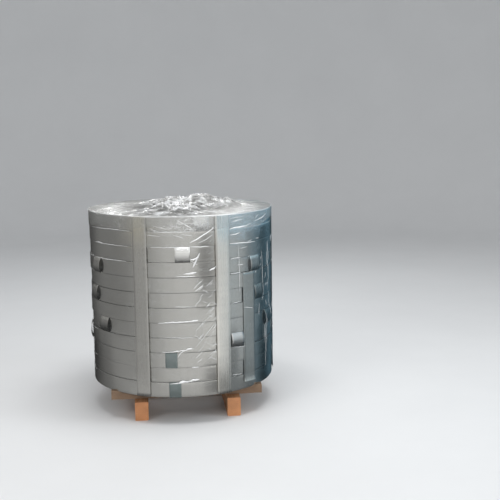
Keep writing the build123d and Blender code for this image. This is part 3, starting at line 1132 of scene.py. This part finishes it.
# %% Pleats that the photograph shows
pleat_halves = (0.0008, 0.0013, 0.0023, 0.0036, 0.0050)
pleat_step, pleat_wobble, pleat_gap, pleat_arch = 0.004, 0.0011, 0.00025, 0.70
seen_pleats = [  # index of the half width, then azimuth in degrees and height in millimetres by turns
    (3, 2.75, 948, 9, 976, 15.25, 1010, 17.3, 1026), (2, -4.5, 1066, 0, 1042, 4.5, 1020),
    (2, 2.75, 930, 8, 926, 14, 928), (2, 8, 894, 6, 862, 5, 828), (1, 3, 858, 7, 834),
    (2, 14, 806, 16, 812, 18, 824), (2, -5.25, 780, 0, 777, 5.75, 778), (3, -1, 790, 3, 794, 6, 798),
    (2, 5.25, 700, 7.5, 715, 10, 726), (3, -17, 538, -8, 543, 4.75, 546), (1, -7.25, 624, 0, 621, 5.5, 620),
    (1, -13, 464, -4, 461, 4.5, 460), (2, -15, 386, -6, 391, 3.75, 402), (2, 2.25, 304, 5.75, 302),
    (3, -10.75, 220, -2, 229, 5.75, 236), (1, 5, 410, 11, 470, 17.5, 538), (3, 26.3, 1006, 33, 1012, 40, 1012),
    (2, 27, 976, 31, 976, 34.8, 982), (3, 27, 932, 38, 926, 48.5, 922), (2, 27.5, 854, 34.8, 852),
    (2, 27.3, 776, 34.8, 774), (1, 27, 620, 34.3, 622), (1, 27.3, 240, 34.5, 234), (1, 27, 388, 37.8, 380),
    (1, 33.8, 924, 33.9, 800, 33.8, 672), (2, -64, 934, -60, 931, -56.5, 930),
    (2, -24, 1081.5, -5, 1081.5, 14, 1081.5), (3, 12, 1081.3, 34, 1081.3, 56, 1081.3),
    (3, 44, 1081.3, 62, 1081.3, 80, 1081.3), (1, -70, 928, -50, 928.5, -34, 928),
    (1, -19, 1006, -8, 1005.5, 6, 1006), (1, -20, 928, -8, 927.5, -2, 928), (1, -68, 851, -52, 850, -36, 850),
    (1, 7, 945, 12, 960, 16, 985), (1, -72.5, 1004, -52, 1010, -33, 1008), (4, 1.75, 546, 6.5, 550),
    (4, -0.75, 400, 2.75, 404), (2, -5.75, 360, -4, 386, -0.5, 398), (3, 2.25, 304, 6.5, 304),
    (4, 1.25, 236, 6.5, 238), (3, -5.25, 230, -2, 236), (4, 0.25, 790, 6.25, 796),
    (4, 8.25, 896, 6.75, 866, 2.75, 864), (4, 6.75, 866, 5.25, 844, 4.25, 824), (4, 13.75, 804, 17.25, 814),
    (1, 56, 868, 56.4, 740, 56.75, 596), (1, 66.5, 910, 66.3, 760, 66.5, 634),
    (1, 60.75, 478, 60.4, 350, 60.75, 226), (2, 29, 1042, 33, 1047, 37.25, 1048),
    (2, 31.75, 1006, 38, 1010, 45.25, 1022), (1, 27, 1060, 40, 1066), (2, 48, 1030, 58, 1040, 66, 1060),
]
print("pleats placed by hand", len(seen_pleats))


# %% One pleat
def film_reach(azimuth, height):
    """Radius of the film at any azimuth and height."""
    column = (azimuth + 180) / 360 * film_columns
    left = np.floor(column).astype(int)
    share = column - left
    row = np.clip(np.searchsorted(levels, height), 1, len(levels) - 1)
    rise = held((height - levels[row - 1]) / (levels[row] - levels[row - 1]))
    a, b = left % film_columns, (left + 1) % film_columns
    low, high = (film_radius[r, a] * (1 - share) + film_radius[r, b] * share for r in (row - 1, row))
    return low * (1 - rise) + high * rise + film_waves(azimuth, height)


def pleat(line, kind, chance):
    """A ribbon along a line of (azimuth, height)."""
    line = np.array(line, float)
    flat = np.stack([np.radians(line[:, 0]) * coil_radius, line[:, 1]], 1)
    flat, run = spread(rounded(flat), pleat_step)
    share = run / run[-1]
    for waves in (2.3, 5.1, 9.7):
        wave = np.sin(2 * math.pi * (waves * share + chance.uniform()))
        flat[:, 1] += pleat_wobble / waves ** 0.5 * wave * np.sin(math.pi * share)
    side = np.gradient(flat, axis=0)
    side /= np.linalg.norm(side, axis=1)[:, None]
    side = np.stack([-side[:, 1], side[:, 0]], 1)
    taper = np.sin(math.pi * np.clip(share, 0.02, 0.98)) ** 0.5 * chance.uniform(0.6, 1.1, len(share))
    taper = np.convolve(np.pad(taper, 1, mode="edge"), [0.25, 0.5, 0.25], "valid")
    half = pleat_halves[kind] * taper
    rows, laid = [], []
    for across, lift in ((-1, 0.0), (-0.55, 0.62), (0.1, 1.0), (0.6, 0.55), (1, 0.0)):
        spot = flat + side * (half * across)[:, None]
        azimuth = np.degrees(spot[:, 0] / coil_radius)
        reach = film_reach(azimuth, spot[:, 1]) + pleat_gap + lift * half * pleat_arch
        rows.append(around(azimuth, reach, spot[:, 1]))
        laid.append(spot)
    return grid(np.array(rows), np.array(laid))


# %% Pleats placed by chance
def chance_pleats(chance):
    """Pleats for the sides that the photograph doesn't show, and fine ones between the seen ones."""
    made = []

    def add(kind, azimuth, height, length, end):
        made.append((int(kind), [(azimuth, height), (azimuth + length, end)]))

    for _ in range(96):
        azimuth = chance.uniform(72, 285)
        number = chance.integers(1, coil_count + 1)
        if chance.uniform() < 0.6:
            height = coil_base(number) + coil_width * chance.choice([0.02, 0.98]) + chance.normal(0, 0.004)
            rise = chance.normal(0, 0.006)
        else:
            height = chance.uniform(0.2, 1.05)
            rise = chance.normal(0, 0.035)
        length = chance.uniform(3, 15)
        height = np.clip(height, 0.17, 1.06)
        add(chance.integers(1, 3), azimuth, height, length, np.clip(height + rise, 0.17, 1.07))
    for _ in range(46):
        azimuth, height = chance.uniform(4, 16), chance.uniform(0.30, 0.74)
        length = chance.uniform(1.5, 5)
        rise = length * 0.0087 * chance.uniform(0.6, 1.3) * chance.choice([1, 1, 1, 1, -0.6])
        add(chance.integers(0, 2), azimuth, height, length, height + rise)
    for _ in range(12):
        azimuth, height = chance.uniform(50, 76), chance.uniform(0.22, 0.90)
        end = height + chance.uniform(0.03, 0.16)
        add(chance.integers(0, 2), azimuth, height, chance.normal(0, 0.8), end)
    for _ in range(16):
        azimuth, height = chance.uniform(-22, 0), chance.uniform(0.99, 1.07)
        add(0, azimuth, height, chance.uniform(3, 9), height + chance.normal(0, 0.008))
    for _ in range(14):
        azimuth, height = chance.uniform(28, 62), chance.uniform(0.55, 1.06)
        add(1, azimuth, height, chance.uniform(2, 7), height + chance.normal(0.004, 0.008))
    return made


# %% Make the pleats
def make_pleats():
    """All pleats as one piece on the film."""
    chance = np.random.default_rng(4242)
    seen = [(kind, np.reshape(line, (-1, 2)) / (1, 1000)) for kind, *line in seen_pleats]
    grids = [pleat(line, kind, chance) for kind, line in seen + chance_pleats(chance)]
    return make_piece("stretch_film_pleats", grids, [pleat_film], closed=False, weld=False)


pleats = make_pleats()
print("pleat faces", len(pleats.data.polygons))

# %% [markdown]
# ## The film over the top
#
# The last turns of film are laid over the top edge and pushed together over the bore. Near the rim
# the film lies smooth on the coil. Further in it has too much width for the smaller circle, so it
# folds into radial pleats, which pile up in the middle as a crumpled heap. Crumpled film is made of
# flat facets with sharp creases between them, large ones that are broken into smaller ones. So the
# heap has the large facets of the CAD solid, and on them a bent net of three-cornered facets whose
# corners have chance heights, at three sizes.

# %% Shape of the heap, as in the CAD source
heap_middle = (0.030, -0.030)
heap_radius = bore_radius + 0.036
heap_flank, heap_base, heap_peak = 0.090, 0.014, 0.046
heap_peaks = (
    (-0.30, 0.18, 0.85), (0.18, 0.06, 1.0), (0.50, 0.26, 0.70), (0.72, -0.12, 0.55),
    (-0.50, -0.40, 0.40), (0.05, -0.62, 0.55), (-0.12, 0.66, 0.45),
)
heap_peak_share = 0.27
heap_spokes = 16
heap_rings = (0.0, 0.22, 0.46, 0.72, 1.0)


def heap_corner(ring, spoke):
    """A corner of the heap's large facets. Ring 0 is the middle."""
    turn = 2 * math.pi * (spoke % heap_spokes) / heap_spokes if ring else 0.0
    edge = heap_radius * (1 + 0.10 * math.sin(3 * turn + 1))
    reach = heap_rings[ring] * edge
    x, y = reach * math.cos(turn), reach * math.sin(turn)
    share = min((edge - reach) / heap_flank, 1)
    level = heap_base
    for peak_x, peak_y, height in heap_peaks:
        off = math.hypot(x / heap_radius - peak_x, y / heap_radius - peak_y)
        level += heap_peak * height * math.exp(-((off / heap_peak_share) ** 2))
    return np.array([x + heap_middle[0], y + heap_middle[1], level * share * share * (3 - 2 * share)])


def heap_facets():
    """The large facets, three corners each."""
    facets = []
    for spoke in range(heap_spokes):
        facets.append((heap_corner(0, 0), heap_corner(1, spoke), heap_corner(1, spoke + 1)))
        for ring in range(1, len(heap_rings) - 1):
            inner, beside = heap_corner(ring, spoke), heap_corner(ring, spoke + 1)
            outer, across = heap_corner(ring + 1, spoke), heap_corner(ring + 1, spoke + 1)
            facets += [(inner, outer, across), (inner, across, beside)]
    return facets


facets = heap_facets()
print("facets", len(facets), "highest corner", round(max(corner[2] for facet in facets for corner in facet), 4))


# %% Height of the heap
def cross_of(a, b, x, y):
    """Twice the area of a triangle with a corner at (0, 0)."""
    return a * y - x * b


def heap_level(x, y):
    """Height of the large facets over the flat film."""
    level = np.zeros_like(x)
    for a, b, c in facets:
        ab, ac, near = b - a, c - a, 1e-9
        area = cross_of(ab[0], ab[1], ac[0], ac[1])
        share_b = cross_of(x - a[0], y - a[1], ac[0], ac[1]) / area
        share_c = cross_of(ab[0], ab[1], x - a[0], y - a[1]) / area
        inside = (share_b >= -near) & (share_c >= -near) & (share_b + share_c <= 1 + near)
        level = np.where(inside, a[2] + share_b * ab[2] + share_c * ac[2], level)
    return level


# %% Crumpled facets
net_corners = 90
crease_share = 0.15


def crumple(x, y, seed, size):
    """Heights of flat three-cornered facets, -1 to 1, and how near each point lies to a crease, 0 to 1."""
    chance = np.random.default_rng(seed)
    corners = chance.uniform(-1, 1, (net_corners, net_corners))
    turn = chance.uniform(0, math.pi)
    x, y = x * math.cos(turn) - y * math.sin(turn), x * math.sin(turn) + y * math.cos(turn)
    for _ in range(3):
        reach = chance.uniform(1.5, 3.0) * size
        wave = x / reach * chance.uniform(-1, 1) + y / reach * chance.uniform(-1, 1) + chance.uniform(0, 6)
        push = 0.22 * size * np.sin(wave)
        x, y = x + push * chance.uniform(-1, 1), y + push * chance.uniform(-1, 1)
    across, along = x / size + 0.5 * y / size + 40, y / (0.87 * size) + 40
    i, j = np.floor(across).astype(int), np.floor(along).astype(int)
    u, v = across - i, along - j
    i, j = i % (net_corners - 1), j % (net_corners - 1)
    near, right, up, far = corners[i, j], corners[i + 1, j], corners[i, j + 1], corners[i + 1, j + 1]
    first = u + v < 1
    lower = near + (right - near) * u + (up - near) * v
    upper = far + (up - far) * (1 - u) + (right - far) * (1 - v)
    u, v = np.where(first, u, 1 - u), np.where(first, v, 1 - v)
    to_crease = np.minimum(np.minimum(u, v), 1 - u - v)
    return np.where(first, lower, upper), held(1 - to_crease / crease_share)


# %% Film that hangs over the rim
edge_drops = (0.068, 0.050, 0.032, 0.016, 0.008, 0.003, 0.0008)
edge_gap, glint_reach = 0.0005, 0.0035


def hanging_edge(azimuth):
    """The rows of the top film that hang down over the side, with their haze and a painted glint along the rim."""
    rows, laid, haze_and_glint = [], [], []
    # Painted glint: the hanging film is made paler and more opaque near the rim.
    glint = 0.35 + 0.30 * held(np.sin(np.radians(2 * azimuth + 10)) + np.sin(np.radians(7 * azimuth)))
    glint += 0.30 * np.exp(-(((azimuth - 50) / 30) ** 4))
    for index, down in enumerate(edge_drops):
        first, last = index == 0, down < 0.001
        ragged = 1 + 0.12 * (np.sin(np.radians(3 * azimuth)) + np.sin(np.radians(8 * azimuth + 50))) * first
        level = stack_top - down * ragged
        reach = film_reach(azimuth, level) + edge_gap - 0.0009 * last
        rows.append(around(azimuth, reach, level + edge_gap * last))
        laid.append(np.stack([np.radians(azimuth) * coil_radius, np.full_like(azimuth, -down)], -1))
        haze_and_glint.append(glint * math.exp(-((down / glint_reach) ** 2)) - 0.10 * (index < 2))
    return rows, laid, haze_and_glint


# %% Film on top
rim_level = stack_top + 0.0020
rough_size, small_size, fine_size, lean_size = 0.064, 0.029, 0.012, 0.040
rough_rise, small_rise, fine_rise, front_rise = 0.0110, 0.0050, 0.0018, 0.0095
tents = (  # azimuth, width in degrees, height
    (-62, 5, 0.0050), (-80, 7, 0.0065), (-98, 6, 0.0045), (-120, 9, 0.0050), (48, 9, 0.0025), (150, 10, 0.0040),
)


def gathered(azimuth, radius, fold):
    """The film on top, with painted shade in its valleys and painted highlights on its crests and at the rim."""
    flat = around(azimuth, radius)[..., :2]
    x, y = flat[..., 0], flat[..., 1]
    level = heap_level(x, y)
    rise = held(level / 0.02)
    gather = held((0.490 - radius) / 0.20) * held(radius / 0.12)
    front = np.exp(-(np.abs((azimuth + 12) / 34) ** 2.6)) * held((0.502 - radius) / 0.025)
    (rough, rough_line), (small, small_line) = crumple(x, y, 21, rough_size), crumple(x, y, 22, small_size)
    fine = crumple(x, y, 25, fine_size)[0]
    height = rim_level + (0.0034 + 0.0022 * rise) * gather * (1 + fold) + 0.94 * level
    height += rise * (rough_rise * rough + small_rise * small + fine_rise * fine - 0.004)
    height += (1 - rise) * (0.0010 * gather + front_rise * front) * (1 + 0.6 * rough + 0.8 * small + 0.3 * fine)
    for centre, width, lift in tents:
        aside = np.abs(degrees_from(centre, azimuth) / width)
        height += lift * np.exp(-aside ** 1.3) * (1 - rise) * held((0.495 - radius) / 0.12)
    lean = 0.009 * rise + 0.004 * front
    push_x, push_y = (crumple(x, y, seed, lean_size)[0] for seed in (23, 24))
    point = np.stack([x + lean * push_x, y + lean * push_y, np.maximum(height, rim_level)], -1)
    # Painted shade in the valleys and along the creases of the heap, and in the radial folds near the rim.
    sunk = 0.60 * held(0.16 - 0.7 * rough - 0.7 * small - 0.5 * fine)
    sunk = sunk + 0.8 * rough_line * held(0.1 - rough) + 0.5 * small_line * held(-small)
    valley_shade = np.maximum(rise, front) * sunk * (1 - 0.35 * front) + 0.12 * gather * (1 - rise) * held(-fold)
    # Painted highlight: the crests of the heap, and the rim, are made paler and more opaque.
    crest_highlight = (0.30 + 0.08 * front) * held(0.6 * rough + 0.8 * small + 0.5 * fine)
    crest_highlight = crest_highlight + 0.6 * rough_line * held(rough + 0.4) + 0.5 * small_line * held(small + 0.2)
    haze_and_glint = (0.88 * rise * (1 - 0.2 * front) + 1.4 * front) * crest_highlight + 0.60 * held((radius - 0.497) / 0.005)
    return point, flat, valley_shade, haze_and_glint


# %% Make the film over the top
def make_top_film():
    """The film over the top as one sheet."""
    azimuth = np.linspace(-180, 180, 721)
    chance = np.random.default_rng(9)
    orders = (23, 37, 41, 59, 74, 90)
    fold = sum(np.sin(k * np.radians(azimuth) + chance.uniform(0, 6)) * chance.uniform(0.4, 1) for k in orders) / 3
    edge, edge_laid, edge_haze = hanging_edge(azimuth)
    radii = np.concatenate([np.linspace(0.5035, 0.34, 36, endpoint=False), np.linspace(0.34, 0, 84)])
    points, laid, valley_shade, haze = gathered(azimuth, radii[:, None], fold)
    valley_shade = np.concatenate([np.zeros_like(edge_haze), valley_shade])
    shades = {"ValleyShade": held(valley_shade), "HazeAndGlint": np.clip(np.concatenate([edge_haze, haze]), -0.2, 1)}
    made = grid(np.concatenate([edge, points]), np.concatenate([edge_laid, laid]))
    piece = make_piece("stretch_film_top", [made], [top_film], closed=False, shades=shades)
    piece.data.set_sharp_from_angle(angle=math.radians(24))
    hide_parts("film_top", "film_heap")
    return piece


top_sheet = make_top_film()
print("top film faces", len(top_sheet.data.polygons))

# %% [markdown]
# ## Film
#
# Film is bought flat, on a roll.

# %% [markdown]
# ## Floor
#
# The stage is a pale floor that curves up far away, so that no horizon cuts the picture and the
# stack can be looked at from any side. It isn't part of the stack. A profile turned round the axis
# is the plainest way to make it.

# %% Floor and backdrop
def make_floor():
    """A round floor that curves up into a wall."""
    flat_end, bend_radius, top = 7.0, 2.5, 5.0
    profile = [(0.0, 0.0), (2.0, 0.0), (5.0, 0.0), (flat_end, 0.0)]
    for bend in (math.radians(angle) for angle in range(10, 91, 10)):
        profile.append((flat_end + bend_radius * math.sin(bend), bend_radius - bend_radius * math.cos(bend)))
    profile.append((flat_end + bend_radius, top))
    points = np.array([around(np.linspace(-180, 180, 97), r, h) for r, h in profile])
    mesh = new_mesh("floor", grid(points, points[:, :, :2]))
    mesh.shade_smooth()
    material, tree, shader = new_finish("floor_pale")
    cloud = noise_of(tree, put(tree, "TexCoord")["Object"], 1.3, 4.0, 0.6)
    colour = blend_of(tree, cloud, (0.71, 0.715, 0.72, 1), (0.77, 0.775, 0.78, 1))
    feed(tree, shader, {"Base Color": colour, "Roughness": 0.75, "Specular IOR Level": 0.2})
    mesh.materials.append(material)
    floor = stand("floor", mesh)
    floor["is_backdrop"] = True
    return floor


floor = make_floor()
print("floor faces", len(floor.data.polygons))

# %% [markdown]
# ## The room in reflections
#
# Polished metal shows what stands round it more than how it is lit. The real stack mirrors a hall.
# A model of the hall would take longer than the stack, and a few lamps would leave the steel black
# between them. So a ring of soft light that only gloss can see stands in for the hall: bright in
# front, darker at the flanks, cool on the right. Its brightness is stated where it appears on the
# stack, and the law of reflection tells which place on the ring that is.

# %% Where a reflection comes from
room_radius = 0.90
eye_distance, eye_heading = 4.94, math.radians(-2.2)
seen_light = [  # azimuth on the stack, brightness of what it mirrors
    (-88, 0.03), (-76, 0.08), (-68, 0.14), (-60, 0.22), (-45, 0.24), (-37, 0.27), (-30, 0.36), (-20, 0.42),
    (-12, 0.60), (0, 0.70), (8, 0.72), (15, 0.84), (20, 0.72), (26, 0.58), (33, 0.57), (38, 0.47), (41, 0.31),
    (46, 0.34), (50, 0.24), (55, 0.10), (60, 0.125), (67, 0.21), (72, 0.14), (77, 0.06), (88, 0.03),
]
panels = [  # azimuth on the stack, width in degrees, height, reach up and down, change of brightness
    (12.5, 5.0, 0.76, 0.22, -0.52), (14.0, 4.0, 0.12, 0.10, -0.50), (-66, 14, 0.12, 0.20, -0.06),
    (14, 28, 0.02, 0.07, -0.20), (-34, 14, 0.02, 0.09, 0.10), (-43, 9, 0.22, 0.15, 0.07),
    (30, 14, 0.03, 0.14, -0.14), (58, 9, 0.10, 0.22, -0.07), (28.5, 4, 0.24, 0.14, -0.34),
    (21, 5, 0.09, 0.08, -0.25), (0, 14, 1.05, 0.06, 0.16), (23, 6, 1.02, 0.07, -0.08),
    (48, 26, 1.06, 0.090, 0.52), (9.6, 3.5, 1.05, 0.06, 0.22), (-30, 8, 1.00, 0.10, 0.08),
]


def seen_on_room(azimuth):
    """Where on the ring the camera sees the mirror image that appears at an azimuth of the stack."""
    away = around(azimuth)[..., :2]
    spot = away * coil_radius
    sight = spot - eye_distance * np.array([math.sin(eye_heading), -math.cos(eye_heading)])
    sight /= np.linalg.norm(sight, axis=-1)[..., None]
    mirrored = sight - 2 * np.sum(sight * away, -1)[..., None] * away
    along = np.sum(spot * mirrored, -1)
    far = -along + np.sqrt(along ** 2 + room_radius ** 2 - coil_radius ** 2)
    hit = spot + far[..., None] * mirrored
    return np.degrees(np.arctan2(hit[..., 0], -hit[..., 1]))


# %% Light of the room
def room_light(turn, height):
    """Brightness and colour of the ring at an azimuth and a height."""
    seen = np.linspace(-86, 84, 171)
    stack = np.interp(turn, seen_on_room(seen), seen)
    light = np.interp(stack, *np.transpose(seen_light))
    for centre, width, level, rise, change in panels:
        light = light + change * np.exp(-(((stack - centre) / width) ** 4) - ((height - level) / rise) ** 4)
    hidden = held((np.abs(turn) - 142) / 14)
    back = 0.36 + 0.16 * np.sin(np.radians(3 * turn + 40)) + 0.10 * np.sin(np.radians(8 * turn))
    light = light * (1 - hidden) + back * hidden
    high = held((height - 0.86) / 0.1)
    blue = np.interp(stack, [19, 24, 30, 34, 42, 50, 58], [0, 0.16, 0.26, 0.16, 0.36, 0.80, 1.0])
    blue = np.maximum(blue, 0.62 * high * held((stack - 16) / 5))
    blue = blue * (1 - hidden) + 0.15 * hidden
    brown = np.exp(-(((stack + 28) / 9) ** 2)) * high
    tint = np.stack([1 - 0.58 * blue + 0.05 * brown, 1 - 0.23 * blue, 0.985 + 0.015 * blue - 0.13 * brown], -1)
    upper = held((height - 1.12) / 0.20)
    bars = np.sign(np.sin(np.radians(7 * turn + 50))) + 0.5 * np.sign(np.sin(np.radians(16 * turn)))
    beams = 0.60 + 0.30 * bars * held((height - 1.22) / 0.06) + 0.45 * np.exp(-((turn / 75) ** 4))
    tubes = held(np.cos(np.radians(12 * turn)) * 6 - 4.6) * np.exp(-(((height - 1.58) / 0.12) ** 4))
    light = np.clip(light, 0.02, None) * (1 - upper) + upper * (beams + 9.0 * tubes)
    return light[..., None] * (tint + (1 - tint) * upper[..., None])


# %% Make the room
floor_ring, floor_level, floor_glow = 0.45, 0.004, 0.05


def make_room():
    """A ring with a dark floor, which stands in for the room in reflections."""
    turn = np.linspace(-180, 180, 289)
    heights = np.concatenate([np.linspace(0, 1.3, 53), np.linspace(1.35, 2.2, 12)])[:, None]
    floor_edge, floor_light = around(turn, floor_ring, floor_level), np.full((1, len(turn), 3), floor_glow)
    points = np.concatenate([floor_edge[None], around(turn + 0 * heights, room_radius, heights)])
    lights = np.concatenate([floor_light, room_light(turn + 0 * heights, heights)]).reshape(-1, 3)
    mesh = new_mesh("room_ring", grid(points, points[:, :, :2]))
    glow = mesh.attributes.new("Light", "FLOAT_COLOR", "POINT")
    glow.data.foreach_set("color", np.insert(lights, 3, 1.0, 1).astype(np.float32).ravel())
    material, tree, _ = new_finish("room_light")
    tree.nodes.clear()
    colour = put(tree, "Attribute", attribute_name="Light")["Color"]
    put(tree, "OutputMaterial", {"Surface": put(tree, "Emission", {"Color": colour, "Strength": 1.0})[0]})
    mesh.materials.append(material)
    room = stand("room_ring", mesh)
    room.visible_camera = room.visible_diffuse = room.visible_shadow = False
    room.visible_transmission = room.visible_volume_scatter = False
    room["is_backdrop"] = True
    return room


room = make_room()
print("room faces", len(room.data.polygons))

# %% [markdown]
# ## Lamps
#
# A hall is lit evenly, most of all from above. Five broad lamps do that, with a faint even light
# from the world. They light the timber, the floor and the dust on the film, but give no gloss,
# because the steel would show them as hard bright squares.

# %% Place the lamps
def make_lamp(name, place, target, size, power, colour):
    """A broad lamp that looks at a point on the axis."""
    data = bpy.data.lights.new(name, "AREA")
    data.shape = "RECTANGLE"
    data.size, data.size_y = size
    data.energy, data.color = power, colour
    lamp = stand(name, data)
    lamp.location = place
    lamp.rotation_euler = (Vector((0, 0, target)) - Vector(place)).to_track_quat("-Z", "Y").to_euler()
    lamp.visible_camera = lamp.visible_glossy = False


make_lamp("overhead", (0.3, -0.6, 4.2), 0.5, (2.2, 1.6), 84, (1.0, 1.0, 1.0))
make_lamp("front_left", (-3.2, -3.6, 3.0), 0.6, (1.6, 1.6), 44, (1.0, 0.98, 0.95))
make_lamp("front", (0.8, -5.0, 1.2), 0.6, (2.0, 1.2), 60, (1.0, 1.0, 1.0))
make_lamp("right", (3.6, -1.6, 2.8), 0.6, (1.2, 1.8), 34, (0.88, 0.95, 1.0))
make_lamp("back", (0.5, 4.0, 3.4), 0.8, (3.0, 1.2), 34, (0.95, 0.98, 1.0))

world = bpy.data.worlds.new("studio")
world.use_nodes = True
feed(world.node_tree, world.node_tree.nodes["Background"], {"Color": (0.96, 0.98, 1.0, 1), "Strength": 0.50})
bpy.context.scene.world = world
bpy.context.scene.view_settings.view_transform = "Standard"
print("lamps", [light.name for light in bpy.data.lights])

# %% [markdown]
# ## Size of the result
#
# The triangles of all shown pieces are counted.

# %% Count the triangles
triangles = {p.name: len(p.data.polygons) * 2 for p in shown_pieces() if p.type == "MESH"}
print("triangles", sum(triangles.values()), "largest", max(triangles.values()))
